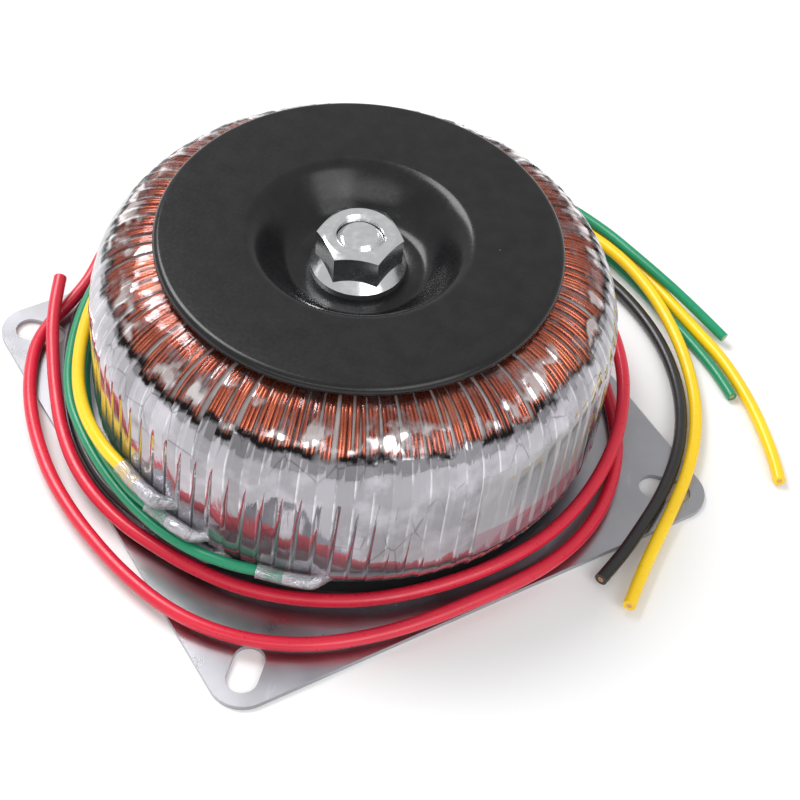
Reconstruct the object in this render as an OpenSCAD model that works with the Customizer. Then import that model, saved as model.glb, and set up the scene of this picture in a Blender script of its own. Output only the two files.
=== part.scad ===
// Toroidal mains transformer clamped to a square mounting plate, with seven
// flying leads. Millimetres, +Z up. X and Y run along the plate's diagonals,
// through its four slots, and Z = 0 is the underside of the plate.

/* [Core] */
// Outside diameter of the tape-wound core
core_od = 79; // [76:0.5:81]
// Inside diameter of the core
core_id = 46; // [44:0.5:48]
// Height of the core
core_h = 26.5; // [24:0.5:28]
// Thickness of the insulation wrapped round the core
core_wrap_t = 0.6; // [0.4:0.1:1]

/* [Windings] */
// Thickness of the primary winding on every side
primary_t = 4.6; // [4:0.1:5]
// Thickness of the insulation between primary and secondary
inter_wrap_t = 0.5; // [0.3:0.1:0.7]
// Diameter of the secondary's enamelled wire
wire_d = 0.8; // [0.6:0.05:0.9]
// Least gap between neighbouring turns, in the bore
turn_gap = 0.18; // [0.1:0.02:0.4]
// Play between one layer and the next
layer_gap = 0.05; // [0.03:0.01:0.1]
// Outer radius of the wound section at the top rim
top_shoulder_r = 14; // [10:0.5:15]
// Outer radius of the wound section at the bottom rim
bottom_shoulder_r = 10; // [8:0.5:12]
// Radius of the wound section at both ends of the bore
bore_shoulder_r = 6; // [5:0.5:7]

/* [Film and label] */
// Thickness of the outer polyester film, all its turns together
film_t = 0.3; // [0.2:0.05:0.5]
// Thickness of the label under the film
label_t = 0.1; // [0.06:0.02:0.12]
// Angle that the label covers
label_angle = 36; // [20:1:60]
// Where the label starts, from +X
label_start = -47; // [-60:1:-30]
// Height of the label's lower edge above the plate's underside
label_z = 11; // [8:0.5:14]
// Height of the label
label_h = 21; // [14:0.5:24]

/* [Pads] */
// Thickness of the pad under the winding
lower_pad_t = 2; // [1.5:0.1:3]
// How far the lower pad stays inside the winding's outer side
lower_pad_inset = 3; // [1:0.5:6]
// Thickness of the squeezed pad over the winding
upper_pad_t = 1.5; // [1:0.1:2.5]
// How far the upper pad stays inside the cap's rim
upper_pad_inset = 1; // [0.5:0.1:2]
// Gap between a pad's hole and the pressed dish that passes through it
pad_hole_gap = 0.5; // [0.3:0.1:2]

/* [Top cap] */
// Outside diameter of the dished washer
cap_od = 70.4; // [66:0.2:74]
// Thickness of its steel
cap_t = 1; // [0.8:0.1:1.2]
// Height of the turned-down rim
cap_rim_h = 1.7; // [1.4:0.1:2.2]
// Depth of the pressed dish
dish_depth = 7.5; // [6:0.25:8]
// How far the floor of the dish stays from the wall of the bore
dish_floor_gap = 5; // [4:0.25:6]
// How far the dish's edge stays inside the winding's flat top
dish_edge_gap = 2; // [1.5:0.25:3]

/* [Mounting plate] */
// Side of the square plate
plate_side = 100; // [98:1:104]
// Thickness of the plate
plate_t = 1; // [0.8:0.1:1.2]
// Radius of the plate's corners
plate_corner_r = 6; // [3:0.5:8]
// Distance between the centres of two opposite slots
slot_spacing = 121.6; // [120:0.2:123]
// Overall length of a slot
slot_length = 9.6; // [8:0.2:10]
// Width of a slot
slot_w = 5.5; // [4.5:0.1:6]
// Gap round the bolt head under the pressed boss
boss_floor_gap = 1.5; // [1:0.25:2.5]
// Width of the boss's sloping wall, seen from above
boss_wall_w = 8; // [7:0.25:9]
// How far the bolt head sits above the plate's underside
head_recess = 0.9; // [0.5:0.1:1.5]

/* [Bolt and nut] */
// Thread diameter of the bolt
bolt_d = 8; // [6:0.5:8]
// Size of bolt head and nut across the flats
hex_af = 13; // [12:0.5:13]
// Height of the bolt head
head_h = 5.3; // [4.5:0.1:5.5]
// Height of the nut with its flange
nut_h = 8; // [7:0.25:9]
// Diameter of the nut's flange
flange_d = 16.6; // [16:0.2:18]
// Thickness of the flange at its edge
flange_edge_t = 1.2; // [1:0.1:1.5]
// Play between the bolt and the nut, each side
thread_gap = 0.1; // [0.05:0.01:0.15]
// Play between the bolt and the holes it passes, each side
hole_gap = 0.3; // [0.2:0.05:0.5]
// How far the bolt's end stays below the nut's top
bolt_end_drop = 0.3; // [0:0.1:1]
// Angle that the nut is turned through
nut_turn = 10; // [0:1:60]

/* [Leads] */
// Diameter of the two red primary leads
red_d = 2.5; // [2:0.1:2.6]
// Diameter of the yellow and black secondary leads
main_d = 2.4; // [2:0.1:2.4]
// Diameter of the two green auxiliary leads
green_d = 2; // [1.6:0.1:2]
// Thickness of the film folded over a lead where it comes out
fold_t = 0.25; // [0.2:0.05:0.3]
// Play round a lead inside the folded film
fold_gap = 0.1; // [0.05:0.01:0.15]
// Length of the fold over each lead, as an angle round the winding
fold_angle = 12; // [9:1:14]
// Length of the sleeved joint at each lead's hidden end, as an angle
splice_angle = 5.5; // [3:0.5:6]

/* [Hidden] */
$fn = 72;

// Depths below the film's outer face at which each layer starts
wire_inset = film_t + label_t + layer_gap;
wrap_inset = wire_inset + wire_d + layer_gap;
primary_inset = wrap_inset + inter_wrap_t;

// Outer size of the finished winding, built up from the core
build_t = core_wrap_t + primary_t + primary_inset;
wound_r = core_od/2 + build_t;
bore_r = core_id/2 - build_t;
wound_z0 = plate_t + lower_pad_t;
wound_h = core_h + 2*build_t;
wound_z1 = wound_z0 + wound_h;

// Turns: as many as fit side by side round the bore, shared by the two halves
wire_axis_inset = wire_inset + wire_d/2;
turns_per_half = floor(PI*(bore_r + wire_axis_inset)/(wire_d + turn_gap));
wire_fn = 24;

// Clamping stack, upwards
cap_z = wound_z1 + upper_pad_t;
cap_r = cap_od/2;
dish_r = bore_r + bore_shoulder_r - dish_edge_gap;
dish_floor_r = bore_r - dish_floor_gap;
nut_seat_z = cap_z + cap_t - dish_depth;
head_top_z = head_recess + head_h;
bolt_end_z = nut_seat_z + nut_h - bolt_end_drop;
hex_r = hex_af/sqrt(3);
boss_floor_r = hex_r + boss_floor_gap;
boss_r = boss_floor_r + boss_wall_w;
boss_h = head_top_z;
bolt_hole_d = bolt_d + 2*hole_gap;
rim_bend_r = 0.2;
rim_x = cap_r - cap_t - rim_bend_r;
bolt_chamfer = 1;
nut_chamfer = 0.5;
hex_face_r = 0.47*hex_af;
hex_bevel_angle = 30;
press_steps = 10;

// Leads: where each leaves the folded film, as [angle, height, diameter]
red_1_exit = [82, 14, red_d];
red_2_exit = [100, 10.5, red_d];
black_exit = [-116, 7, main_d];
yellow_1_exit = [-129, 15.2, main_d];
yellow_2_exit = [-215, 14, main_d];
green_1_exit = [-93, 10, green_d];
green_2_exit = [-120, 12, green_d];
lead_exits = [red_1_exit, red_2_exit, black_exit, yellow_1_exit, yellow_2_exit,
    green_1_exit, green_2_exit];
lead_sides = 8;
exit_steps = 2;
fold_end_angle = 1;

// Routes beyond the exits, as [angle, distance from the Z axis, height], drawn
// round a winding of radius drawn_r and moved outwards with it
drawn_r = 46.5;
red_1_route = [[75, 48.4, 13.6], [67, 49.5, 12.7], [58, 50.8, 11.5], [49, 52, 10.4],
    [40, 52.5, 9.6], [31, 52.4, 8.8], [22, 51.9, 7.8], [13, 51, 6.9], [4, 50, 6.4],
    [-6, 48.9, 6], [-16, 48, 5.6], [-26, 47.2, 5.2], [-36, 46.3, 5], [-46, 45.7, 4.8],
    [-57, 45.5, 4.5], [-68, 45.8, 4.2], [-78, 46.2, 4], [-88, 46.8, 3.9], [-98, 47.4, 3.8],
    [-108, 47.8, 3.7], [-117, 48.5, 3.7], [-126, 49.8, 3.8], [-135, 51, 4], [-144, 51.9, 4.2],
    [-153, 52.6, 4.5], [-161, 53.4, 4.8], [-169, 54.8, 5], [-177, 57, 5.4], [-183, 58.9, 6],
    [-189, 61, 6.8]];
red_2_route = [[94, 47.8, 9.9], [86, 48.4, 8.2], [77, 49, 6.2], [68, 49.3, 4.7],
    [59, 49.4, 3.8], [50, 49.4, 3.2], [41, 49.4, 2.9], [32, 49.4, 2.7], [23, 49.6, 2.6],
    [14, 50.2, 2.6], [5, 50.8, 2.7], [-4, 51.2, 2.8], [-13, 51.4, 3], [-22, 51.2, 3.1],
    [-31, 50.6, 3.2], [-40, 49.9, 3.2], [-49, 49.9, 3.3], [-58, 50.8, 3.3], [-67, 52.3, 3.3],
    [-76, 54.1, 3.3], [-84, 55.6, 3.3], [-92, 56.6, 3.3], [-100, 57, 3.3], [-108, 56.7, 3.2],
    [-117, 56, 3.1], [-126, 55.6, 3], [-135, 55.8, 2.9], [-144, 56.4, 2.8], [-153, 57.2, 2.7],
    [-161, 58.2, 2.6], [-168, 59.1, 2.5], [-175, 59.8, 2.4], [-181, 59.4, 2.5],
    [-187, 58, 3.2], [-193, 57.4, 4.4], [-199, 58.4, 6]];
black_route = [[-121, 46.8, 6.2], [-128, 47.3, 4.9], [-136, 48.3, 4.2], [-145, 49.2, 3.8],
    [-154, 50.1, 3.6], [-163, 51, 3.4], [-172, 52.4, 3.3], [-180, 53.9, 3.2], [-188, 55.1, 3.2],
    [-197, 55, 3.1], [-206, 55, 3], [-215, 55, 2.8], [-224, 55.2, 2.6], [-234, 55.6, 2.5],
    [-244, 56, 2.5], [-254, 56.6, 2.5], [-264, 57.4, 2.4], [-274, 58.5, 2.4], [-284, 59.8, 2.3],
    [-293, 61.2, 2.2], [-302, 62.6, 2], [-310, 63.6, 1.8], [-318, 64.2, 1.6], [-326, 64.4, 1.5],
    [-334, 64.1, 1.6], [-342, 63.4, 2], [-350, 62.4, 2.4], [-357, 61.3, 2.4],
    [-364, 60.2, 2.4], [-371, 59.3, 2.4], [-378, 59, 2.4], [-385, 59, 2.3]];
yellow_1_route = [[-136, 48.2, 14.4], [-144, 48.5, 13.2], [-152, 48.8, 12], [-160, 49.1, 11],
    [-168, 49.5, 10.4], [-176, 50.1, 10.1], [-184, 50.9, 10.1], [-192, 51.9, 10.5],
    [-200, 53.2, 11], [-209, 54.8, 11.2], [-218, 56.6, 11.2], [-227, 59, 11],
    [-236, 61.8, 10.6], [-245, 64.8, 9.8], [-254, 67.4, 8.6], [-263, 69.4, 7.2],
    [-272, 70.8, 5.6], [-281, 71.6, 4.2], [-290, 71.8, 3.2], [-299, 71.4, 2.7],
    [-307, 71, 2.5], [-314, 70.8, 2.4], [-320, 71.3, 2.2], [-326, 72.8, 1.8], [-332, 74.9, 1.5],
    [-338, 76.7, 1.3], [-344, 78.4, 1.3], [-350, 80.2, 1.3], [-354, 81.4, 1.3]];
yellow_2_route = [[-221, 48.5, 13.3], [-229, 50.4, 11.4], [-237, 52.6, 9.2], [-245, 55, 7.1],
    [-253, 57.5, 5.5], [-261, 59.9, 4.6], [-269, 62, 4.3], [-277, 63.8, 4.4], [-285, 65.2, 4.7],
    [-293, 66.2, 4.9], [-301, 67, 5], [-309, 67.6, 4.8], [-317, 67.6, 4.2], [-325, 67.3, 3.4],
    [-333, 66.9, 2.7], [-341, 66.3, 2.4], [-349, 65.3, 2.4], [-357, 64.1, 2.4],
    [-364, 63.2, 2.4], [-371, 62.9, 2.4], [-378, 63.6, 2.4], [-386, 66, 2.3]];
green_1_route = [[-99, 47.7, 9.7], [-107, 48.1, 9.3], [-115, 48.2, 9], [-123, 48.2, 8.7],
    [-131, 48.3, 8.5], [-139, 48.7, 8.4], [-147, 49.4, 8.3], [-155, 50.4, 8.1], [-163, 51.1, 8],
    [-171, 51.6, 8], [-179, 52.3, 8.1], [-187, 53.1, 8.3], [-195, 54, 8.5], [-204, 55.4, 8.5],
    [-213, 57, 8.4], [-222, 58.8, 8.2], [-231, 60.6, 7.9], [-240, 62.4, 7.6], [-249, 64.2, 7.2],
    [-258, 66, 6.8], [-267, 67.4, 6.4], [-276, 68.5, 6], [-285, 69.3, 5.7], [-294, 69.9, 5.4],
    [-302, 70.2, 5.2], [-309, 70.5, 5], [-316, 71.8, 4.5], [-320, 73.2, 3.8], [-324, 75, 2.9],
    [-328, 77.2, 1.9]];
green_2_route = [[-126, 47.7, 11.5], [-133, 47.6, 11], [-141, 47.7, 10.3], [-150, 47.8, 9.2],
    [-159, 48, 8.2], [-167, 48.5, 7.4], [-175, 49.2, 7], [-183, 50, 7], [-191, 51, 6.9],
    [-200, 52.2, 6.8], [-209, 53.6, 6.6], [-218, 55.2, 6.3], [-227, 57, 6], [-236, 58.8, 5.6],
    [-245, 60.6, 5.2], [-253, 62.2, 4.8], [-261, 63.7, 4.4], [-269, 65, 3.9], [-277, 66, 3.4],
    [-285, 67, 2.8], [-293, 67.8, 2.2], [-301, 68.4, 1.6], [-309, 68.6, 1.2], [-316, 68.8, 1.1],
    [-322, 69.5, 1.1], [-328, 71, 1.1], [-334, 72.8, 1.1], [-339, 74.3, 1.1]];

// ---- Helpers ----

function polar(p) = [p[1]*cos(p[0]), p[1]*sin(p[0]), p[2]];

// Distance from the Z axis of a line that runs e outside the film, at height z
function side_r(z, e) =
    z >= wound_z0 + bottom_shoulder_r ? wound_r + e :
    wound_r - bottom_shoulder_r
        + sqrt(pow(bottom_shoulder_r + e, 2) - pow(wound_z0 + bottom_shoulder_r - z, 2));
function exit_r(exit) = side_r(exit[1], exit[2]/2 + fold_gap + layer_gap);

// Outline of the wound section, d below the film's outer face
module wound_section(d) {
    ro = wound_r - d;
    ri = bore_r + d;
    z0 = wound_z0 + d;
    z1 = wound_z1 - d;
    top = max(top_shoulder_r - d, 0.2);
    bottom = max(bottom_shoulder_r - d, 0.2);
    inner = max(bore_shoulder_r - d, 0.2);
    polygon([[ro, z0 + bottom], [ro, z1 - top], [ro - top, z1], [ri + inner, z1],
        [ri, z1 - inner], [ri, z0 + inner], [ri + inner, z0], [ro - bottom, z0]]);
    translate([ro - top, z1 - top]) circle(top);
    translate([ro - bottom, z0 + bottom]) circle(bottom);
    for (z = [z0 + inner, z1 - inner]) translate([ri + inner, z]) circle(inner);
}

// Rectangular section of the core, grown by d, with its corners rounded by r
module core_section(d, r) {
    x0 = core_id/2 - d;
    x1 = core_od/2 + d;
    z0 = wound_z0 + build_t - d;
    z1 = z0 + core_h + 2*d;
    translate([x0 + r, z0]) square([x1 - x0 - 2*r, z1 - z0]);
    translate([x0, z0 + r]) square([x1 - x0, z1 - z0 - 2*r]);
    for (x = [x0 + r, x1 - r], z = [z0 + r, z1 - r]) translate([x, z]) circle(r);
}

// Closed shell of revolution between two depths below the film's outer face
module wound_layer(d0, d1) rotate_extrude() difference() {
    wound_section(d0);
    wound_section(d1);
}

// Smooth step from 0 to 1, and its slope
function press(u) = u*u*(3 - 2*u);
function press_slope(u) = 6*u*(1 - u);

// One face of a pressed wall from radius r0 to r1 that climbs by h, set off
// square to the sheet by t
function pressed_wall(r0, r1, h, t) = [for (i = [0:press_steps])
    let (u = i/press_steps, a = atan(press_slope(u)*h/(r1 - r0)))
    [r0 + u*(r1 - r0) - t*sin(a), h*press(u) + t*cos(a)]];

function reversed(list) = [for (i = [len(list) - 1:-1:0]) list[i]];

// ---- Mounting plate ----

module slot() {
    straight = slot_length - slot_w;
    for (x = [-straight/2, straight/2]) translate([x, 0]) circle(d = slot_w);
    square([straight, slot_w], center = true);
}

module plate_outline() {
    half = plate_side/2 - plate_corner_r;
    rotate(45) {
        square([plate_side, 2*half], center = true);
        square([2*half, plate_side], center = true);
        for (x = [-half, half], y = [-half, half]) translate([x, y]) circle(plate_corner_r);
    }
}

// Pressed boss that lets the bolt head sit above the surface below
module boss_profile() {
    top = reversed(pressed_wall(boss_floor_r, boss_r, -boss_h, plate_t));
    under = pressed_wall(boss_floor_r, boss_r, -boss_h, 0);
    translate([0, boss_h]) polygon(concat(
        [[bolt_hole_d/2, 0]], under, top, [[bolt_hole_d/2, plate_t]]));
}

module mounting_plate() color([0.78, 0.79, 0.82]) {
    linear_extrude(plate_t) difference() {
        plate_outline();
        circle(boss_r);
        for (a = [0:90:270]) rotate(a) translate([slot_spacing/2, 0]) slot();
    }
    rotate_extrude() boss_profile();
}

// ---- Pads ----

module pad(r_out, r_in, t) rotate_extrude() translate([r_in, 0]) square([r_out - r_in, t]);

module lower_pad() color([0.1, 0.1, 0.11]) translate([0, 0, plate_t])
    pad(wound_r - lower_pad_inset, boss_r + pad_hole_gap, lower_pad_t);

module upper_pad() color([0.1, 0.1, 0.11]) translate([0, 0, wound_z1])
    pad(cap_r - cap_t - upper_pad_inset, dish_r + pad_hole_gap, upper_pad_t);

// ---- Core and windings ----

core_corner_r = 0.5;

module core() color([0.45, 0.47, 0.5]) rotate_extrude() core_section(0, core_corner_r);

module core_insulation() color([0.93, 0.9, 0.8]) rotate_extrude() difference() {
    core_section(core_wrap_t, core_corner_r + core_wrap_t);
    core_section(0, core_corner_r);
}

module primary_winding() color([0.6, 0.25, 0.12]) rotate_extrude() difference() {
    wound_section(primary_inset);
    core_section(core_wrap_t, core_corner_r + core_wrap_t);
}

module interwinding_insulation() color([0.9, 0.88, 0.85])
    wound_layer(wrap_inset, primary_inset);

module wire_leg(l) cylinder(d = wire_d, h = l, $fn = wire_fn);

module wire_bend(r, start) rotate([90, 0, 0]) rotate([0, 0, start])
    rotate_extrude(angle = 90) translate([r, 0]) circle(d = wire_d, $fn = wire_fn);

// One turn of wire, laid round the wound section
module turn() {
    ro = wound_r - wire_axis_inset;
    ri = bore_r + wire_axis_inset;
    z0 = wound_z0 + wire_axis_inset;
    z1 = wound_z1 - wire_axis_inset;
    top = top_shoulder_r - wire_axis_inset;
    bottom = bottom_shoulder_r - wire_axis_inset;
    inner = bore_shoulder_r - wire_axis_inset;
    translate([ro, 0, z0 + bottom]) wire_leg(z1 - top - z0 - bottom);
    translate([ri, 0, z0 + inner]) wire_leg(z1 - z0 - 2*inner);
    translate([ri + inner, 0, z1]) rotate([0, 90, 0]) wire_leg(ro - top - ri - inner);
    translate([ri + inner, 0, z0]) rotate([0, 90, 0]) wire_leg(ro - bottom - ri - inner);
    translate([ro - top, 0, z1 - top]) wire_bend(top, 0);
    translate([ri + inner, 0, z1 - inner]) wire_bend(inner, 90);
    translate([ri + inner, 0, z0 + inner]) wire_bend(inner, 180);
    translate([ro - bottom, 0, z0 + bottom]) wire_bend(bottom, 270);
}

// Every second turn, starting from the given one
module half_winding(first) for (i = [0:turns_per_half - 1])
    rotate((2*i + first)*180/turns_per_half) turn();

module secondary_winding_a() color([0.82, 0.36, 0.16]) half_winding(0);

module secondary_winding_b() color([0.72, 0.3, 0.14]) half_winding(1);

// ---- Label, film and the leads' exits ----

module label() color([0.97, 0.96, 0.97]) rotate(label_start)
    rotate_extrude(angle = label_angle) intersection() {
        difference() {
            wound_section(film_t + layer_gap/2);
            wound_section(film_t + layer_gap/2 + label_t);
        }
        translate([wound_r - top_shoulder_r, label_z]) square([top_shoulder_r, label_h]);
    }

// Round bar bent round the winding beside an exit, from angle a0 to a1
module bar_round(exit, d, a0, a1) rotate(exit[0] + a0) rotate_extrude(angle = a1 - a0)
    translate([exit_r(exit), exit[1]]) circle(d = d, $fn = wire_fn);

module outer_film() color([0.8, 0.78, 0.8, 0.55]) difference() {
    union() {
        wound_layer(0, film_t);
        for (e = lead_exits) bar_round(e, e[2] + 2*(fold_gap + fold_t), 0, fold_angle);
    }
    for (e = lead_exits) bar_round(e, e[2] + 2*fold_gap, -1, fold_angle - fold_end_angle);
}

module lead_splices() color([0.15, 0.15, 0.15]) for (e = lead_exits)
    bar_round(e, e[2], fold_angle - fold_end_angle - splice_angle, fold_angle - fold_end_angle);

// ---- Top cap ----

module dish_profile() {
    floor_z = cap_t - dish_depth;
    top = [for (p = pressed_wall(dish_floor_r, dish_r, dish_depth, 0)) p + [0, floor_z]];
    under = [for (p = pressed_wall(dish_floor_r, dish_r, dish_depth, -cap_t)) p + [0, floor_z]];
    polygon(concat([[bolt_hole_d/2, floor_z]], top, [[rim_x, cap_t], [rim_x, 0]],
        reversed(under), [[bolt_hole_d/2, floor_z - cap_t]]));
}

module bend_profile() translate([rim_x, -rim_bend_r]) difference() {
    intersection() {
        circle(cap_t + rim_bend_r);
        square(cap_t + rim_bend_r);
    }
    circle(rim_bend_r);
}

module lip_profile() translate([cap_r - cap_t, cap_t - cap_rim_h])
    square([cap_t, cap_rim_h - cap_t - rim_bend_r]);

module top_cap() color([0.09, 0.09, 0.1]) translate([0, 0, cap_z]) {
    rotate_extrude() dish_profile();
    rotate_extrude() bend_profile();
    rotate_extrude() lip_profile();
}

// ---- Bolt and nut ----

// Hexagonal bar from z = 0 to h, its top corners bevelled at 30 degrees
module hex_bar(h) intersection() {
    outer = hex_r + 1;
    cylinder(r = hex_r, h = h, $fn = 6);
    rotate_extrude() polygon([[0, 0], [outer, 0],
        [outer, h - (outer - hex_face_r)*tan(hex_bevel_angle)], [hex_face_r, h], [0, h]]);
}

module bolt() color([0.8, 0.8, 0.78]) {
    translate([0, 0, head_top_z]) mirror([0, 0, 1]) hex_bar(head_h);
    translate([0, 0, head_top_z - 0.5]) cylinder(d = bolt_d,
        h = bolt_end_z - bolt_chamfer - head_top_z + 0.5);
    translate([0, 0, bolt_end_z - bolt_chamfer])
        cylinder(d1 = bolt_d, d2 = bolt_d - 2*bolt_chamfer, h = bolt_chamfer);
}

module flange_nut() color([0.85, 0.86, 0.87]) translate([0, 0, nut_seat_z]) rotate(nut_turn)
    difference() {
        union() {
            hex_bar(nut_h);
            cylinder(d = flange_d, h = flange_edge_t);
            translate([0, 0, flange_edge_t])
                cylinder(r1 = flange_d/2, r2 = hex_af/2, h = (flange_d - hex_af)/2*0.9);
        }
        translate([0, 0, -1]) cylinder(d = bolt_d + 2*thread_gap, h = nut_h + 2);
        translate([0, 0, nut_h - nut_chamfer])
            cylinder(d1 = bolt_d + 2*thread_gap, d2 = bolt_d + 2*thread_gap + 2.2*nut_chamfer,
                h = 1.1*nut_chamfer);
    }

// ---- Leads ----

// Points of a lead: its joint inside the fold, the exit, then its route
function lead_points(exit, route) = let (start = fold_angle - fold_end_angle - splice_angle) [
    for (i = [0:exit_steps]) polar([exit[0] + start*(1 - i/exit_steps), exit_r(exit), exit[1]]),
    for (p = route) polar([p[0], p[1] + wound_r - drawn_r, p[2]])];

function unit(v) = v/norm(v);
function heading(pts, i) = unit(pts[min(i + 1, len(pts) - 1)] - pts[max(i - 1, 0)]);

// One ring of points round the lead at its i-th point, square to its course
function ring(pts, i, r) = let (
    t = heading(pts, i), side = unit(cross(t, [0, 0, 1])), up = cross(side, t))
    [for (k = [0:lead_sides - 1]) let (a = 360*k/lead_sides)
        pts[i] + r*(cos(a)*side + sin(a)*up)];

module lead(exit, route) {
    pts = lead_points(exit, route);
    n = len(pts);
    m = lead_sides;
    rings = [for (i = [0:n - 1]) each ring(pts, i, exit[2]/2)];
    sides = [for (i = [0:n - 2], k = [0:m - 1]) let (a = i*m + k, b = i*m + (k + 1)%m)
        each [[a, b, b + m], [a, b + m, a + m]]];
    polyhedron(rings, concat([[for (k = [m - 1:-1:0]) k]], sides,
        [[for (k = [0:m - 1]) (n - 1)*m + k]]), convexity = 10);
}

module red_lead_1() color([0.85, 0.1, 0.18]) lead(red_1_exit, red_1_route);
module red_lead_2() color([0.85, 0.1, 0.18]) lead(red_2_exit, red_2_route);
module black_lead() color([0.12, 0.12, 0.13]) lead(black_exit, black_route);
module yellow_lead_1() color([0.98, 0.83, 0.08]) lead(yellow_1_exit, yellow_1_route);
module yellow_lead_2() color([0.98, 0.83, 0.08]) lead(yellow_2_exit, yellow_2_route);
module green_lead_1() color([0.1, 0.58, 0.42]) lead(green_1_exit, green_1_route);
module green_lead_2() color([0.1, 0.58, 0.42]) lead(green_2_exit, green_2_route);

mounting_plate();
lower_pad();
core();
core_insulation();
primary_winding();
interwinding_insulation();
secondary_winding_a();
secondary_winding_b();
label();
outer_film();
lead_splices();
upper_pad();
top_cap();
bolt();
flange_nut();
red_lead_1();
red_lead_2();
black_lead();
yellow_lead_1();
yellow_lead_2();
green_lead_1();
green_lead_2();
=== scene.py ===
import bpy
import math
import random
from mathutils import Matrix, Vector


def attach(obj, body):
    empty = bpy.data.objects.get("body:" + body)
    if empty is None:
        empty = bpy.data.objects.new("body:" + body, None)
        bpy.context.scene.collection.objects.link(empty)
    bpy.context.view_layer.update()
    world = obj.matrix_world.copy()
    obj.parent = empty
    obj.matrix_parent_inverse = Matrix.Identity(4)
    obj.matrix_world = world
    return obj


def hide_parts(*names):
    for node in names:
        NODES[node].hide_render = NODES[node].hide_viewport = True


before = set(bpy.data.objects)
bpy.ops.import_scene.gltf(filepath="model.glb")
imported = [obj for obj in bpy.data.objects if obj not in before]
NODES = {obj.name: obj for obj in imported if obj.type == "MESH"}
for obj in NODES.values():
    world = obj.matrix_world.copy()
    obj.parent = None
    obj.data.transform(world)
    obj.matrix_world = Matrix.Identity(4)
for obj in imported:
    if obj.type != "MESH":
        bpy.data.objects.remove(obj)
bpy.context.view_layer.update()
MM = 0.001

# Sizes from the CAD source, in millimetres
WOUND_R, BORE_R, Z0, Z1 = 46.5, 16.0, 3.0, 43.5
TOP_R, BOTTOM_R, BORE_CORNER = 14.0, 10.0, 6.0
FOLD_GAP, FOLD_T, LAYER_GAP = 0.1, 0.25, 0.05
FOLD_ANGLE, FOLD_END, SPLICE_ANGLE = 12.0, 1.0, 5.5
RED_D, MAIN_D, GREEN_D = 2.5, 2.4, 2.0
CAP_Z, CAP_T, CAP_R, DISH_DEPTH = 45.0, 1.0, 35.2, 7.5
DISH_R, DISH_FLOOR_R, HOLE_R, RIM_H = 20.0, 11.0, 4.3, 1.7
FLOOR_HALF, FLOOR_Z = 3000.0, -0.02


# ---------------------------------------------------------------- camera

def add_camera():
    data = bpy.data.cameras.new("camera")
    data.lens = 88.0
    data.sensor_width = 36.0
    cam = bpy.data.objects.new("camera", data)
    bpy.context.scene.collection.objects.link(cam)
    right = Vector((0.9631, 0.2591, 0.0733)).normalized()
    back = Vector((0.1190, -0.6538, 0.7472)).normalized()
    up = back.cross(right).normalized()
    right = up.cross(back)
    rot = Matrix((right, up, back)).transposed()
    cam.matrix_world = Matrix.Translation((0.0528, -0.2355, 0.2763)) @ rot.to_4x4()
    data.clip_start, data.clip_end = 0.01, 20
    bpy.context.scene.camera = cam


# ---------------------------------------------------------------- material helpers

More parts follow.
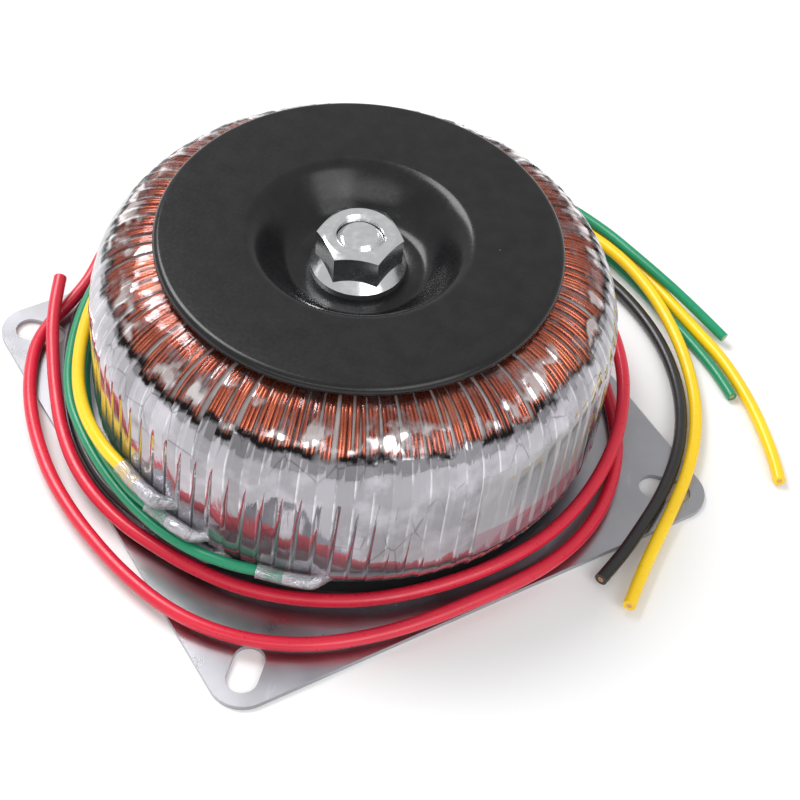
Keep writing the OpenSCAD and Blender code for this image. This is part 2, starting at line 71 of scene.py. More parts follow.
class Mat:
    """A procedural material around one Principled shader."""

    def __init__(self, name, **values):
        self.m = bpy.data.materials.new(name)
        self.m.use_nodes = True
        self.t = self.m.node_tree
        self.bsdf = self.t.nodes["Principled BSDF"]
        self.out = self.t.nodes["Material Output"]
        for key, value in values.items():
            socket = self.bsdf.inputs[key.replace("_", " ")]
            socket.default_value = (*value, 1.0) if isinstance(value, tuple) else value

    def node(self, kind, **props):
        n = self.t.nodes.new("ShaderNode" + kind)
        for k, v in props.items():
            setattr(n, k, v)
        return n

    def link(self, a, b):
        self.t.links.new(a, b)
        return b

    def value(self, socket, v):
        """Links or sets a socket, whichever v is."""
        if hasattr(v, "is_output"):
            self.link(v, socket)
        else:
            socket.default_value = v

    def position(self):
        return self.node("TexCoord").outputs["Object"]

    def mapped(self, source, scale):
        n = self.node("Mapping")
        self.link(source, n.inputs["Vector"])
        n.inputs["Scale"].default_value = scale
        return n.outputs["Vector"]

    def noise(self, vector, scale, detail=3.0, rough=0.5, distortion=0.0):
        n = self.node("TexNoise")
        self.link(vector, n.inputs["Vector"])
        n.inputs["Scale"].default_value = scale
        n.inputs["Detail"].default_value = detail
        n.inputs["Roughness"].default_value = rough
        n.inputs["Distortion"].default_value = distortion
        return n.outputs["Fac"]

    def voronoi(self, vector, scale, feature="F1", output="Distance"):
        n = self.node("TexVoronoi", feature=feature)
        self.link(vector, n.inputs["Vector"])
        n.inputs["Scale"].default_value = scale
        return n.outputs[output]

    def math(self, op, a, b=0.0, clamp=False):
        n = self.node("Math", operation=op, use_clamp=clamp)
        self.value(n.inputs[0], a)
        self.value(n.inputs[1], b)
        return n.outputs[0]

    def span(self, v, a, b, c=0.0, d=1.0, smooth=False):
        """v mapped from the range a..b to c..d, held at its ends."""
        n = self.node("MapRange", interpolation_type="SMOOTHSTEP" if smooth else "LINEAR")
        self.value(n.inputs["Value"], v)
        for key, x in zip(("From Min", "From Max", "To Min", "To Max"), (a, b, c, d)):
            n.inputs[key].default_value = x
        return n.outputs["Result"]

    def ramp(self, v, *stops):
        n = self.node("ValToRGB")
        self.link(v, n.inputs["Fac"])
        e = n.color_ramp.elements
        while len(e) < len(stops):
            e.new(0.5)
        for i, (pos, colour) in enumerate(stops):
            e[i].position = pos
            e[i].color = (*colour, 1.0)
        return n.outputs["Color"]

    def mix(self, fac, a, b):
        n = self.node("Mix", data_type="RGBA")
        self.value(n.inputs["Factor"], fac)
        for key, v in (("A", a), ("B", b)):
            socket = [s for s in n.inputs if s.name == key and s.type == "RGBA"][0]
            self.value(socket, (*v, 1.0) if isinstance(v, tuple) else v)
        return [s for s in n.outputs if s.type == "RGBA"][0]

    def bump(self, height, strength, distance):
        n = self.node("Bump")
        self.link(height, n.inputs["Height"])
        n.inputs["Strength"].default_value = strength
        n.inputs["Distance"].default_value = distance
        return n.outputs["Normal"]

    def set(self, key, v):
        self.value(self.bsdf.inputs[key], v)


def finish_piece(obj, material, slot, *replaced):
    obj.data.materials.clear()
    obj.data.materials.append(material)
    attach(obj, "root")
    if replaced:
        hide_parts(*replaced)
    return obj


def new_mesh(name, verts, faces, smooth=True):
    mesh = bpy.data.meshes.new(name)
    mesh.from_pydata([Vector(v) * MM for v in verts], [], faces)
    mesh.update()
    if smooth:
        mesh.polygons.foreach_set("use_smooth", [True] * len(mesh.polygons))
    obj = bpy.data.objects.new(name, mesh)
    bpy.context.scene.collection.objects.link(obj)
    return obj


# ---------------------------------------------------------------- shape helpers

def polar(a, r, z):
    return Vector((r * math.cos(math.radians(a)), r * math.sin(math.radians(a)), z))


def catmull(points, steps):
    """Points of a smooth curve through the given points."""
    out = []
    n = len(points)
    for i in range(n - 1):
        p0, p1 = points[max(i - 1, 0)], points[i]
        p2, p3 = points[i + 1], points[min(i + 2, n - 1)]
        for k in range(steps):
            t = k / steps
            out.append(0.5 * (2 * p1 + t * (p2 - p0) + t * t * (2 * p0 - 5 * p1 + 4 * p2 - p3)
                              + t ** 3 * (3 * p1 - p0 - 3 * p2 + p3)))
    out.append(points[-1])
    return out


def side_r(z, e):
    """Distance from the Z axis of a line e outside the film at height z."""
    if z >= Z0 + BOTTOM_R:
        return WOUND_R + e
    return WOUND_R - BOTTOM_R + math.sqrt((BOTTOM_R + e) ** 2 - (Z0 + BOTTOM_R - z) ** 2)


def arc(cx, cz, r, a0, a1, n):
    return [(cx + r * math.cos(math.radians(a0 + (a1 - a0) * i / n)),
             cz + r * math.sin(math.radians(a0 + (a1 - a0) * i / n))) for i in range(n + 1)]


def section(d, n):
    """The wound section's outline d below the film's outer face, from the bore's
    lower end out along the bottom, up the side and back over the top."""
    ro, ri, z0, z1 = WOUND_R - d, BORE_R + d, Z0 + d, Z1 - d
    t, b, c = TOP_R - d, BOTTOM_R - d, BORE_CORNER - d
    pts = arc(ri + c, z0 + c, c, 180, 270, n // 2)
    pts += arc(ro - b, z0 + b, b, 270, 360, n)
    zs, ze = z0 + b, z1 - t
    pts += [(ro, zs + (ze - zs) * i / 6) for i in range(1, 6)]
    pts += arc(ro - t, z1 - t, t, 0, 90, n + 4)
    pts += arc(ri + c, z1 - c, c, 90, 180, n // 2)
    return pts


def outward(outline, j):
    """Point j of the wound section and the unit normal that leaves the winding."""
    here = Vector(outline[j])
    along = Vector(outline[(j + 1) % len(outline)]) - Vector(outline[j - 1])
    out = Vector((along.y, -along.x)).normalized()
    centre = Vector(((WOUND_R + BORE_R) / 2, (Z0 + Z1) / 2))
    return here, out if out.dot(here - centre) >= 0 else -out


def lathe(name, profile, n=192):
    """Surface of revolution of a closed outline of (r, z) points."""
    verts, faces = [], []
    m = len(profile)
    for j in range(n):
        a = 360 * j / n
        verts += [polar(a, r, z) for r, z in profile]
    for j in range(n):
        k = (j + 1) % n
        for i in range(m):
            p = (i + 1) % m
            faces.append((j * m + i, k * m + i, k * m + p, j * m + p))
    return new_mesh(name, verts, faces)


# ---------------------------------------------------------------- leads

LEADS = {
    "red_lead_1": (82, 14, RED_D, "red", [
        (75, 48.4, 13.6), (67, 49.5, 12.7), (58, 50.8, 11.5), (49, 52, 10.4), (40, 52.5, 9.6),
        (31, 52.4, 8.8), (22, 51.9, 7.8), (13, 51, 6.9), (4, 50, 6.4), (-6, 48.9, 6),
        (-16, 48, 5.6), (-26, 47.2, 5.2), (-36, 46.3, 5), (-46, 45.7, 4.8), (-57, 45.5, 4.5),
        (-68, 45.8, 4.2), (-78, 46.2, 4), (-88, 46.8, 3.9), (-98, 47.4, 3.8),
        (-108, 47.8, 3.7), (-117, 48.5, 3.7), (-126, 49.8, 3.8), (-135, 51, 4),
        (-144, 51.9, 4.2), (-153, 52.6, 4.5), (-161, 53.4, 4.8), (-169, 54.8, 5),
        (-177, 57, 5.4), (-183, 58.9, 6), (-189, 61, 6.8)]),
    "red_lead_2": (100, 10.5, RED_D, "red", [
        (94, 47.8, 9.9), (86, 48.4, 8.2), (77, 49, 6.2), (68, 49.3, 4.7), (59, 49.4, 3.8),
        (50, 49.4, 3.2), (41, 49.4, 2.9), (32, 49.4, 2.7), (23, 49.6, 2.6), (14, 50.2, 2.6),
        (5, 50.8, 2.7), (-4, 51.2, 2.8), (-13, 51.4, 3), (-22, 51.2, 3.1), (-31, 50.6, 3.2),
        (-40, 49.9, 3.2), (-49, 49.9, 3.3), (-58, 50.8, 3.3), (-67, 52.3, 3.3),
        (-76, 54.1, 3.3), (-84, 55.6, 3.3), (-92, 56.6, 3.3), (-100, 57, 3.3),
        (-108, 56.7, 3.2), (-117, 56, 3.1), (-126, 55.6, 3), (-135, 55.8, 2.9),
        (-144, 56.4, 2.8), (-153, 57.2, 2.7), (-161, 58.2, 2.6), (-168, 59.1, 2.5),
        (-175, 59.8, 2.4), (-181, 59.4, 2.5), (-187, 58, 3.2), (-193, 57.4, 4.4),
        (-199, 58.4, 6)]),
    "black_lead": (-116, 7, MAIN_D, "black", [
        (-121, 46.8, 6.2), (-128, 47.3, 4.9), (-136, 48.3, 4.2), (-145, 49.2, 3.8),
        (-154, 50.1, 3.6), (-163, 51, 3.4), (-172, 52.4, 3.3), (-180, 53.9, 3.2),
        (-188, 55.1, 3.2), (-197, 55, 3.1), (-206, 55, 3), (-215, 55, 2.8),
        (-224, 55.2, 2.6), (-234, 55.6, 2.5), (-244, 56, 2.5), (-254, 56.6, 2.5),
        (-264, 57.4, 2.4), (-274, 58.5, 2.4), (-284, 59.8, 2.3), (-293, 61.2, 2.2),
        (-302, 62.6, 2), (-310, 63.6, 1.8), (-318, 64.2, 1.6), (-326, 64.4, 1.5),
        (-334, 64.1, 1.6), (-342, 63.4, 2), (-350, 62.4, 2.4), (-357, 61.3, 2.4),
        (-364, 60.2, 2.4), (-371, 59.3, 2.4), (-378, 59, 2.4), (-385, 59, 2.3)]),
    "yellow_lead_1": (-129, 15.2, MAIN_D, "yellow", [
        (-136, 48.2, 14.4), (-144, 48.5, 13.2), (-152, 48.8, 12), (-160, 49.1, 11),
        (-168, 49.5, 10.4), (-176, 50.1, 10.1), (-184, 50.9, 10.1), (-192, 51.9, 10.5),
        (-200, 53.2, 11), (-209, 54.8, 11.2), (-218, 56.6, 11.2), (-227, 59, 11),
        (-236, 61.8, 10.6), (-245, 64.8, 9.8), (-254, 67.4, 8.6), (-263, 69.4, 7.2),
        (-272, 70.8, 5.6), (-281, 71.6, 4.2), (-290, 71.8, 3.2), (-299, 71.4, 2.7),
        (-307, 71, 2.5), (-314, 70.8, 2.4), (-320, 71.3, 2.2), (-326, 72.8, 1.8),
        (-332, 74.9, 1.5), (-338, 76.7, 1.3), (-344, 78.4, 1.3), (-350, 80.2, 1.3),
        (-354, 81.4, 1.3)]),
    "yellow_lead_2": (-215, 14, MAIN_D, "yellow", [
        (-221, 48.5, 13.3), (-229, 50.4, 11.4), (-237, 52.6, 9.2), (-245, 55, 7.1),
        (-253, 57.5, 5.5), (-261, 59.9, 4.6), (-269, 62, 4.3), (-277, 63.8, 4.4),
        (-285, 65.2, 4.7), (-293, 66.2, 4.9), (-301, 67, 5), (-309, 67.6, 4.8),
        (-317, 67.6, 4.2), (-325, 67.3, 3.4), (-333, 66.9, 2.7), (-341, 66.3, 2.4),
        (-349, 65.3, 2.4), (-357, 64.1, 2.4), (-364, 63.2, 2.4), (-371, 62.9, 2.4),
        (-378, 63.6, 2.4), (-386, 66, 2.3)]),
    "green_lead_1": (-93, 10, GREEN_D, "green", [
        (-99, 47.7, 9.7), (-107, 48.1, 9.3), (-115, 48.2, 9), (-123, 48.2, 8.7),
        (-131, 48.3, 8.5), (-139, 48.7, 8.4), (-147, 49.4, 8.3), (-155, 50.4, 8.1),
        (-163, 51.1, 8), (-171, 51.6, 8), (-179, 52.3, 8.1), (-187, 53.1, 8.3),
        (-195, 54, 8.5), (-204, 55.4, 8.5), (-213, 57, 8.4), (-222, 58.8, 8.2),
        (-231, 60.6, 7.9), (-240, 62.4, 7.6), (-249, 64.2, 7.2), (-258, 66, 6.8),
        (-267, 67.4, 6.4), (-276, 68.5, 6), (-285, 69.3, 5.7), (-294, 69.9, 5.4),
        (-302, 70.2, 5.2), (-309, 70.5, 5), (-316, 71.8, 4.5), (-320, 73.2, 3.8),
        (-324, 75, 2.9), (-328, 77.2, 1.9)]),
    "green_lead_2": (-120, 12, GREEN_D, "green", [
        (-126, 47.7, 11.5), (-133, 47.6, 11), (-141, 47.7, 10.3), (-150, 47.8, 9.2),
        (-159, 48, 8.2), (-167, 48.5, 7.4), (-175, 49.2, 7), (-183, 50, 7),
        (-191, 51, 6.9), (-200, 52.2, 6.8), (-209, 53.6, 6.6), (-218, 55.2, 6.3),
        (-227, 57, 6), (-236, 58.8, 5.6), (-245, 60.6, 5.2), (-253, 62.2, 4.8),
        (-261, 63.7, 4.4), (-269, 65, 3.9), (-277, 66, 3.4), (-285, 67, 2.8),
        (-293, 67.8, 2.2), (-301, 68.4, 1.6), (-309, 68.6, 1.2), (-316, 68.8, 1.1),
        (-322, 69.5, 1.1), (-328, 71, 1.1), (-334, 72.8, 1.1), (-339, 74.3, 1.1)]),
}


def vinyl(name, colour, dark):
    m = Mat(name, Roughness=0.32, Specular_IOR_Level=0.5, Coat_Weight=0.15, Coat_Roughness=0.2)
    p = m.position()
    blotch = m.noise(p, 60, 4, 0.6)
    m.set("Base Color", m.mix(m.span(blotch, 0.35, 0.7), colour, dark))
    m.set("Roughness", m.span(m.noise(p, 900, 2), 0.3, 0.7, 0.26, 0.4))
    m.set("Normal", m.bump(m.noise(p, 1400, 3, 0.6), 0.12, 0.00005))
    return m.m


def copper_end():
    m = Mat("copper_strand_ends", Metallic=1.0, Roughness=0.3)
    p = m.position()
    m.set("Base Color", m.mix(m.noise(p, 2500, 2), (0.9, 0.5, 0.25), (0.55, 0.22, 0.1)))
    return m.m


def strand_bundle(name, at, ahead, d):
    """The cut conductor: a few round strands that stand just proud of the sleeve."""
    side = ahead.cross(Vector((0, 0, 1))).normalized()
    up = side.cross(ahead)
    verts, faces = [], []
    centres = [(0, 0)] + [(math.cos(math.radians(60 * k)), math.sin(math.radians(60 * k)))
                          for k in range(6)]
    s = d * 0.16
    for cx, cy in centres:
        c = at + side * cx * s * 1.02 + up * cy * s * 1.02
        base = len(verts)
        for ring in ((-0.5, 1.0), (0.0, 1.0), (0.03, 0.75)):
            for k in range(8):
                a = math.radians(45 * k)
                verts.append(c + ahead * ring[0] + (side * math.cos(a) + up * math.sin(a))
                             * s / 2 * ring[1])
        for ring in range(2):
            for k in range(8):
                q = (k + 1) % 8
                faces.append((base + ring * 8 + k, base + ring * 8 + q,
                              base + ring * 8 + 8 + q, base + ring * 8 + 8 + k))
        faces.append([base + 16 + k for k in range(8)])
        faces.append([base + 7 - k for k in range(8)])
    return new_mesh(name, verts, faces, smooth=False)


def add_leads():
    colours = {
        "red": vinyl("red_sleeve", (0.70, 0.015, 0.045), (0.60, 0.010, 0.035)),
        "black": vinyl("black_sleeve", (0.012, 0.012, 0.014), (0.02, 0.02, 0.022)),
        "yellow": vinyl("yellow_sleeve", (0.93, 0.62, 0.005), (0.85, 0.53, 0.004)),
        "green": vinyl("green_sleeve", (0.006, 0.27, 0.13), (0.005, 0.22, 0.10)),
    }
    ends = copper_end()
    for name, (a, z, d, colour, route) in LEADS.items():
        r = side_r(z, d / 2 + FOLD_GAP + LAYER_GAP)
        start = FOLD_ANGLE - FOLD_END - SPLICE_ANGLE
        pts = [polar(a + start * (1 - i / 2), r, z) for i in range(3)]
        pts += [polar(*p) for p in route]
        line = catmull(pts, 6)
        curve = bpy.data.curves.new(name + "_sleeve", "CURVE")
        curve.dimensions = "3D"
        curve.bevel_depth = d / 2 * MM
        curve.bevel_resolution = 5
        curve.use_fill_caps = True
        spline = curve.splines.new("POLY")
        spline.points.add(len(line) - 1)
        for point, co in zip(spline.points, line):
            point.co = (*(co * MM), 1.0)
        spline.use_smooth = True
        obj = bpy.data.objects.new(name + "_sleeve", curve)
        bpy.context.scene.collection.objects.link(obj)
        finish_piece(obj, colours[colour], colour + "_sleeve", name)
        tip = line[-1]
        ahead = (line[-1] - line[-2]).normalized()
        bundle = strand_bundle(name + "_strands", tip, ahead, d)
        finish_piece(bundle, ends, "secondary_winding_a")


# ---------------------------------------------------------------- windings

TURNS = 284
WIRE_R = 0.4
WIRE_INSET = 0.85
# towards the bore the turns stack: STACK_STEP a layer, from radius STACK_R inwards
STACK_R, STACK_STEP = 36.0, 0.75
# turns and wraps lean over, in opposite directions above and below LEAN_Z
LEAN_Z, LEAN_H = 23.0, 20.0


def turn_places(count, rng):
    """Angles of the turns round the ring: small groups side by side, then a gap."""
    steps = []
    left = 0
    for _ in range(count):
        if left == 0:
            left = rng.choice((2, 3, 3, 4, 4, 5))
            steps.append(rng.uniform(1.5, 2.4))
        else:
            steps.append(rng.uniform(0.92, 1.02))
        left -= 1
    total = sum(steps)
    places, a = [], 0.0
    for s in steps:
        a += s * 360 / total
        places.append(a)
    return places


def add_windings():
    rng = random.Random(7)
    outline = section(WIRE_INSET, 8)
    n, sides = len(outline), 6
    verts, faces = [], []
    for i, a in enumerate(turn_places(TURNS, rng)):
        lean = rng.gauss(0, 0.35)
        drop = rng.uniform(0.0, 0.12)
        layer = i % 3
        base = len(verts)
        for j in range(n):
            here, out = outward(outline, j)
            r, z = here
            inner = min(1.0, max(0.0, (STACK_R - r) / 12))
            p = here - out * (drop + layer * STACK_STEP * inner)
            angle = a + lean * (z - LEAN_Z) / LEAN_H * max(0.0, (r - 30) / 16)
            spread = math.degrees(WIRE_R / p.x)
            for k in range(sides):
                t = math.radians(60 * k)
                verts.append(polar(angle + spread * math.cos(t),
                                   p.x + out.x * WIRE_R * math.sin(t),
                                   p.y + out.y * WIRE_R * math.sin(t)))
        for j in range(n):
            k0, k1 = base + j * sides, base + ((j + 1) % n) * sides
            for k in range(sides):
                q = (k + 1) % sides
                faces.append((k0 + k, k0 + q, k1 + q, k1 + k))
    obj = new_mesh("copper_turns", verts, faces)
    finish_piece(obj, enamelled_copper(), "secondary_winding_a",
                 "secondary_winding_a", "secondary_winding_b")


def turn_and_height(m, p):
    """Angle round the Z axis from 0 to 1, and height."""
    split = m.node("SeparateXYZ")
    m.link(p, split.inputs[0])
    x, y, z = split.outputs
    return m.span(m.math("ARCTAN2", y, x), -math.pi, math.pi), z


def enamelled_copper():
    m = Mat("enamelled_copper", Metallic=0.85, Roughness=0.27, Coat_Weight=0.5,
            Coat_Roughness=0.12)
    p = m.position()
    tone = m.noise(p, 90, 3, 0.6)
    m.set("Base Color", m.ramp(tone, (0.3, (0.30, 0.045, 0.018)), (0.55, (0.56, 0.12, 0.048)),
                               (0.8, (0.78, 0.24, 0.11))))
    m.set("Roughness", m.span(m.noise(p, 700, 2), 0.3, 0.7, 0.2, 0.34))
    return m.m


# ---------------------------------------------------------------- film

WRAPS = 93
FILM_DEPTH = 0.28
SLANT = 1.3


def add_film():
    """The outermost wraps: one strip beside another, each a little proud at one edge."""
    rng = random.Random(21)
    outline = section(0.0, 12)
    n = len(outline)
    fractions = (0.0, 0.07, 0.36, 0.68, 0.97)
    cols = []
    for j in range(WRAPS):
        proud = rng.uniform(0.02, 0.08)
        fall = rng.uniform(0.12, 0.2)
        phase = rng.uniform(0, 6.28)
        for f in fractions:
            cols.append((j + f, proud + fall * f + (0.05 if f > 0.9 else 0), phase))
    verts, faces = [], []
    for u, depth, phase in cols:
        for j in range(n):
            here, out = outward(outline, j)
            r, z = here
            ripple = 0.05 * math.sin(0.55 * j + phase) + 0.03 * math.sin(1.7 * j + 2 * phase)
            p = here - out * min(FILM_DEPTH, max(0.0, depth + ripple))
            a = u * 360 / WRAPS + SLANT * (z - LEAN_Z) / LEAN_H * max(0.0, (r - 25) / 21)
            verts.append(polar(a, p.x, p.y))
    c = len(cols)
    for i in range(c):
        k = (i + 1) % c
        for j in range(n):
            q = (j + 1) % n
            faces.append((i * n + j, k * n + j, k * n + q, i * n + q))
    obj = new_mesh("film_wraps", verts, faces)
    finish_piece(obj, polyester_film(), "outer_film", "outer_film")
    fold = folded_film()
    for name, (a, z, d, _, _) in LEADS.items():
        finish_piece(film_fold(name + "_fold", a, z, d), fold, "outer_film")


def film_fold(name, a, z, d):
    """The film folded over a lead's first stretch, sinking into the wraps at its far end."""
    sides, verts, faces = 20, [], []
    stops = [0, 0.25, 1, 2.5, 4, 5.5, 7, 8.5, 10] + [11 + 0.6 * i for i in range(11)]
    for i, stop in enumerate(stops):
        sink = max(0.0, (stop - 11) / 6)
        mouth = 0.12 if stop == 0 else 0.0
        radius = d / 2 + FOLD_GAP + FOLD_T * 0.8 + mouth - 0.02 * (i % 2)
        e = d / 2 + FOLD_GAP + LAYER_GAP - (sink * sink * (3 - 2 * sink)) * (d + 0.9)
        for k in range(sides):
            t = math.radians(360 * k / sides)
            verts.append(polar(a + stop, side_r(z, e) + radius * math.cos(t),
                               z + radius * math.sin(t)))
    for i in range(len(stops) - 1):
        for k in range(sides):
            q = (k + 1) % sides
            faces.append((i * sides + k, (i + 1) * sides + k, (i + 1) * sides + q, i * sides + q))
    return new_mesh(name, verts, faces)


def folded_film():
    m = Mat("folded_film", Metallic=0.6, Roughness=0.12, Specular_IOR_Level=0.8)
    p = m.position()
    crumple = m.noise(p, 420, 4, 0.6, 0.8)
    m.set("Base Color", m.mix(crumple, (0.46, 0.45, 0.49), (0.72, 0.71, 0.75)))
    m.set("Normal", m.bump(crumple, 0.9, 0.0009))
    m.set("Alpha", m.span(m.noise(p, 300, 3, 0.6), 0.35, 0.65, 0.3, 0.75))
    return m.m


def polyester_film():
    m = Mat("polyester_film", Metallic=0.85, Roughness=0.06, Specular_IOR_Level=0.8)
    p = m.position()
    turn, z = turn_and_height(m, p)
    strip = m.math("ADD", m.math("MULTIPLY", turn, WRAPS), m.math("MULTIPLY", z, -8.0))
    cell = m.math("FLOOR", strip)
    along = m.math("FRACT", strip)
    n = m.node("TexWhiteNoise", noise_dimensions="1D")
    m.link(cell, n.inputs["W"])
    rand = n.outputs["Value"]
    # where the wraps lift off the copper: ragged, and different on each strip
    ragged = m.math("ADD", z, m.math("MULTIPLY", rand, 0.0016))
    ragged = m.math("ADD", ragged, m.math("MULTIPLY", m.noise(p, 420, 3, 0.6), 0.0022))
    shoulder = m.span(ragged, 0.0397, 0.0406, smooth=True)
    # painted shade: a near-black ragged line where the wraps lift off the copper, standing in for
    # the dark reflection and shadow there
    lift_shade_line = m.math("MULTIPLY", m.span(ragged, 0.0390, 0.0396), m.span(ragged, 0.0402, 0.0408, 1, 0))
    grey = m.mix(rand, (0.30, 0.29, 0.31), (0.46, 0.45, 0.48))
    # painted highlight: pale clouds on the wall stand in for bright surroundings reflected in the
    # film
    highlight_cloud = m.noise(p, 120, 4, 0.6)
    grey = m.mix(m.span(highlight_cloud, 0.45, 0.75), grey, (0.60, 0.58, 0.63))
    # a near-white band along each wrap's edge, broken up by noise: partly the film edge's own haze,
    # partly a painted highlight
    edge = m.span(along, 0.0, 0.14, 1.0, 0.0)
    glint_breakup = m.span(m.noise(p, 200, 3), 0.42, 0.58)
    grey = m.mix(m.math("MULTIPLY", edge, glint_breakup), grey, (0.85, 0.84, 0.87))
    # painted shade: dark lines along the film's creases
    crease_shade = m.voronoi(m.mapped(p, (1, 1, 0.45)), 210, "DISTANCE_TO_EDGE")
    crease_shade = m.math("MULTIPLY", m.span(crease_shade, 0.0, 0.03, 1.0, 0.0),
                    m.span(m.noise(p, 90, 2), 0.5, 0.6))
    grey = m.mix(m.math("MULTIPLY", crease_shade, 0.6), grey, (0.10, 0.09, 0.11))
    grey = m.mix(m.math("MULTIPLY", lift_shade_line, m.span(m.noise(p, 150, 2), 0.4, 0.5)), grey,
                 (0.012, 0.010, 0.012))
    # painted highlight: a broken pale band just above the shoulder, which is also made more opaque
    highlight_band = m.math("MULTIPLY", m.span(ragged, 0.0404, 0.0412), m.span(ragged, 0.0428, 0.0440, 1, 0))
    highlight_band = m.math("MULTIPLY", highlight_band, m.span(m.noise(m.mapped(p, (1, 1, 0.5)), 190, 2), 0.5, 0.56))
    grey = m.mix(highlight_band, grey, (0.95, 0.88, 0.88))
    m.set("Base Color", grey)
    lift = m.math("MULTIPLY", m.math("ADD", rand, 0.6), m.math("MULTIPLY", z, 0.035))
    wrinkle = m.noise(m.mapped(p, (1, 1, 0.25)), 500, 4, 0.65, 0.6)
    swell = m.noise(m.mapped(p, (1, 1, 0.35)), 120, 1, 0.4)
    height = m.math("ADD", lift, m.math("MULTIPLY", wrinkle, 0.00004))
    height = m.math("ADD", height, m.math("MULTIPLY", swell, 0.0009))
    m.set("Normal", m.bump(height, 1.0, 1.0))
    haze = m.noise(p, 260, 4, 0.6)
    veil = m.span(haze, 0.5, 0.72, 0.03, 0.5)
    on_label = m.math("MULTIPLY", m.span(turn, 0.3685, 0.3695), m.span(turn, 0.4685, 0.4695, 1, 0))
    on_label = m.math("MULTIPLY", on_label, m.span(z, 0.0108, 0.0112))
    on_label = m.math("MULTIPLY", on_label, m.span(z, 0.0318, 0.0322, 1, 0))
    wall = m.math("SUBTRACT", 0.94, m.math("MULTIPLY", on_label, 0.55))
    opaque = m.math("ADD", m.math("MULTIPLY", m.math("SUBTRACT", 1.0, shoulder), wall),
                    m.math("MULTIPLY", shoulder, veil))
    fresnel = m.node("LayerWeight")
    fresnel.inputs["Blend"].default_value = 0.35
    fac = m.math("ADD", opaque, m.math("MULTIPLY", fresnel.outputs["Fresnel"], 0.5))
    fac = m.math("ADD", fac, m.math("MULTIPLY", highlight_band, 0.6), clamp=True)
    clear = m.node("BsdfTransparent")
    mix = m.node("MixShader")
    m.link(fac, mix.inputs["Fac"])
    m.link(clear.outputs[0], mix.inputs[1])
    m.link(m.bsdf.outputs[0], mix.inputs[2])
    m.link(mix.outputs[0], m.out.inputs["Surface"])
    return m.m


# ---------------------------------------------------------------- cap, plate, nut and pads

def black_paint():
    m = Mat("black_paint", Roughness=0.24, Specular_IOR_Level=0.36)
    p = m.position()
    dust = m.span(m.voronoi(p, 240), 0.0, 0.035, 1.0, 0.0)
    dust = m.math("MULTIPLY", dust, m.span(m.noise(p, 60, 2), 0.56, 0.6))
    paint = m.mix(m.span(m.noise(p, 300, 3), 0.3, 0.7), (0.007, 0.007, 0.008),
                  (0.012, 0.012, 0.013))
    m.set("Base Color", m.mix(dust, paint, (0.4, 0.4, 0.4)))
    m.set("Roughness", m.span(m.noise(p, 1500, 2), 0.3, 0.7, 0.2, 0.28))
    m.set("Normal", m.bump(m.noise(p, 2600, 3, 0.55), 0.1, 0.00004))
    return m.m


def rubber():
    m = Mat("black_rubber", Roughness=0.6)
    p = m.position()
    m.set("Base Color", m.mix(m.noise(p, 400, 3), (0.010, 0.010, 0.011), (0.022, 0.022, 0.023)))
    m.set("Normal", m.bump(m.noise(p, 2200, 3, 0.6), 0.3, 0.0001))
    return m.m


def zinc_sheet():
    m = Mat("zinc_sheet", Metallic=1.0, Roughness=0.3)
    p = m.position()
    tone = m.noise(p, 45, 4, 0.6)
    sheet = m.mix(m.span(tone, 0.3, 0.7), (0.40, 0.40, 0.425), (0.50, 0.50, 0.53))
    scuff = m.span(m.noise(m.mapped(p, (1, 0.2, 1)), 420, 4, 0.7), 0.62, 0.72)
    m.set("Base Color", m.mix(m.math("MULTIPLY", scuff, 0.25), sheet, (0.62, 0.62, 0.65)))
    m.set("Roughness", m.span(m.noise(p, 120, 4, 0.6), 0.3, 0.7, 0.26, 0.36))
    m.set("Normal", m.bump(m.noise(p, 700, 3, 0.5), 0.05, 0.00005))
    return m.m


def bright_zinc():
    m = Mat("bright_zinc", Metallic=1.0, Roughness=0.2)
    p = m.position()
    m.set("Base Color", m.mix(m.noise(p, 350, 4, 0.6), (0.70, 0.71, 0.72), (0.82, 0.83, 0.84)))
    m.set("Roughness", m.span(m.noise(p, 900, 3), 0.3, 0.7, 0.14, 0.28))
    m.set("Normal", m.bump(m.noise(p, 1800, 3, 0.6), 0.12, 0.00005))
    return m.m


def plain(name, colour, darker, roughness):
    m = Mat(name, Roughness=roughness)
    p = m.position()
    m.set("Base Color", m.mix(m.noise(p, 240, 4, 0.6), colour, darker))
    m.set("Normal", m.bump(m.noise(p, 1600, 3, 0.6), 0.15, 0.00005))
    return m.m


def add_cap():
    """The pressed washer as one smooth lathe over the CAD node's own profile."""
    def wall(t):
        """The dish's sloping side, t above the cap's upper face along its normal."""
        pts = []
        for i in range(37):
            u = i / 36
            slope = math.atan(6 * u * (1 - u) * DISH_DEPTH / (DISH_R - DISH_FLOOR_R))
            pts.append((DISH_FLOOR_R + u * (DISH_R - DISH_FLOOR_R) - t * math.sin(slope),
                        CAP_T - DISH_DEPTH + DISH_DEPTH * u * u * (3 - 2 * u)
                        + t * math.cos(slope)))
        return pts
    edge, low = CAP_R - 1.2, CAP_T - RIM_H
    profile = [(HOLE_R, CAP_T - DISH_DEPTH)] + wall(0)
    profile += [(22, CAP_T), (28, CAP_T)] + arc(edge, -0.2, 1.2, 90, 0, 10)
    profile += [(CAP_R, low + 0.15), (CAP_R - 0.15, low), (CAP_R - 0.85, low),
                (CAP_R - 1, low + 0.15)]
    profile += arc(edge, -0.2, 0.2, 0, 90, 3) + [(28, 0), (22, 0)]
    profile += wall(-CAP_T)[::-1] + [(HOLE_R, -DISH_DEPTH)]
    obj = lathe("pressed_cap", [(r, z + CAP_Z) for r, z in profile])
    finish_piece(obj, black_paint(), "top_cap", "top_cap")


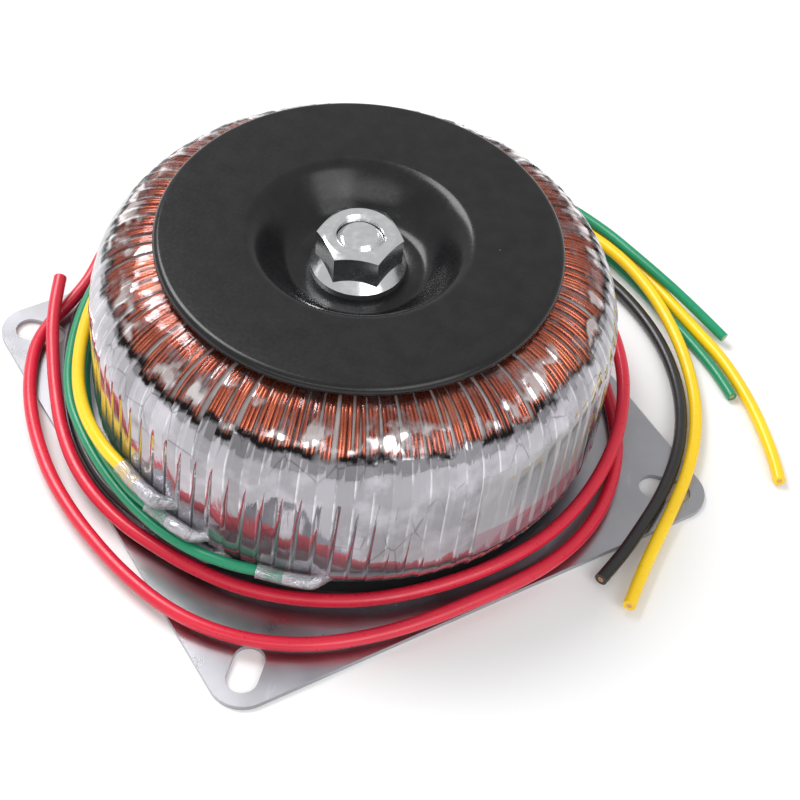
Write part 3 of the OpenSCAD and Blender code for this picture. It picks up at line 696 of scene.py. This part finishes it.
def label_paper():
    """White, with a pink band along its lower edge and no wording."""
    m = Mat("label_paper", Roughness=0.5)
    p = m.position()
    z = turn_and_height(m, p)[1]
    paper = m.mix(m.noise(p, 300, 3), (0.93, 0.92, 0.93), (0.86, 0.85, 0.87))
    band = m.span(m.math("ADD", z, m.math("MULTIPLY", m.noise(p, 120, 2), 0.0008)),
                  0.0172, 0.0176, 1.0, 0.0)
    m.set("Base Color", m.mix(m.math("MULTIPLY", band, 0.85), paper, (0.80, 0.42, 0.50)))
    m.set("Normal", m.bump(m.noise(p, 1600, 3, 0.6), 0.1, 0.00004))
    return m.m


def dress_nodes():
    looks = {
        "mounting_plate": zinc_sheet(),
        "lower_pad": rubber(),
        "upper_pad": rubber(),
        "bolt": bright_zinc(),
        "flange_nut": bright_zinc(),
        "core": plain("core_steel", (0.28, 0.29, 0.31), (0.2, 0.21, 0.23), 0.4),
        "core_insulation": plain("core_tape", (0.8, 0.76, 0.62), (0.72, 0.68, 0.55), 0.5),
        "primary_winding": plain("buried_copper", (0.5, 0.14, 0.06), (0.36, 0.09, 0.04), 0.4),
        "interwinding_insulation": plain("inner_film", (0.62, 0.60, 0.60), (0.5, 0.48, 0.48), 0.3),
        "label": label_paper(),
        "lead_splices": plain("splice_tape", (0.55, 0.54, 0.56), (0.45, 0.44, 0.46), 0.4),
    }
    for name, material in looks.items():
        mesh = NODES[name].data
        mesh.materials.clear()
        mesh.materials.append(material)


# ---------------------------------------------------------------- stage

def add_stage():
    """White floor that takes the object's shadow."""
    m = Mat("floor_white", Base_Color=(0.86, 0.86, 0.86), Roughness=0.7)
    corners = [(x * FLOOR_HALF, y * FLOOR_HALF, FLOOR_Z)
               for x, y in ((-1, -1), (1, -1), (1, 1), (-1, 1))]
    floor = new_mesh("floor", corners, [(0, 1, 2, 3)], smooth=False)
    floor.data.materials.append(m.m)


def area_light(name, at, target, size, watts, size_y=None):
    data = bpy.data.lights.new(name, "AREA")
    data.shape = "RECTANGLE" if size_y else "SQUARE"
    data.size = size
    if size_y:
        data.size_y = size_y
    data.energy = watts
    obj = bpy.data.objects.new(name, data)
    obj.location = at
    obj.rotation_euler = (Vector(target) - Vector(at)).to_track_quat("-Z", "Y").to_euler()
    bpy.context.scene.collection.objects.link(obj)


def add_lights():
    scene = bpy.context.scene
    scene.view_settings.view_transform = "Standard"
    world = bpy.data.worlds.new("world")
    scene.world = world
    world.use_nodes = True
    bg = world.node_tree.nodes["Background"]
    bg.inputs["Color"].default_value = (1, 1, 1, 1)
    bg.inputs["Strength"].default_value = 0.6
    area_light("key", (-0.5, 0.25, 0.75), (0, 0, 0.02), 0.5, 7.0)
    area_light("fill", (0.6, -0.5, 0.6), (0, 0, 0.02), 0.6, 3.0)
    area_light("front_strip", (0.1, -0.85, 0.62), (0, 0, 0.03), 1.3, 2.0, 0.16)


def main():
    add_camera()
    add_leads()
    add_windings()
    add_film()
    add_cap()
    dress_nodes()
    add_stage()
    add_lights()


main()
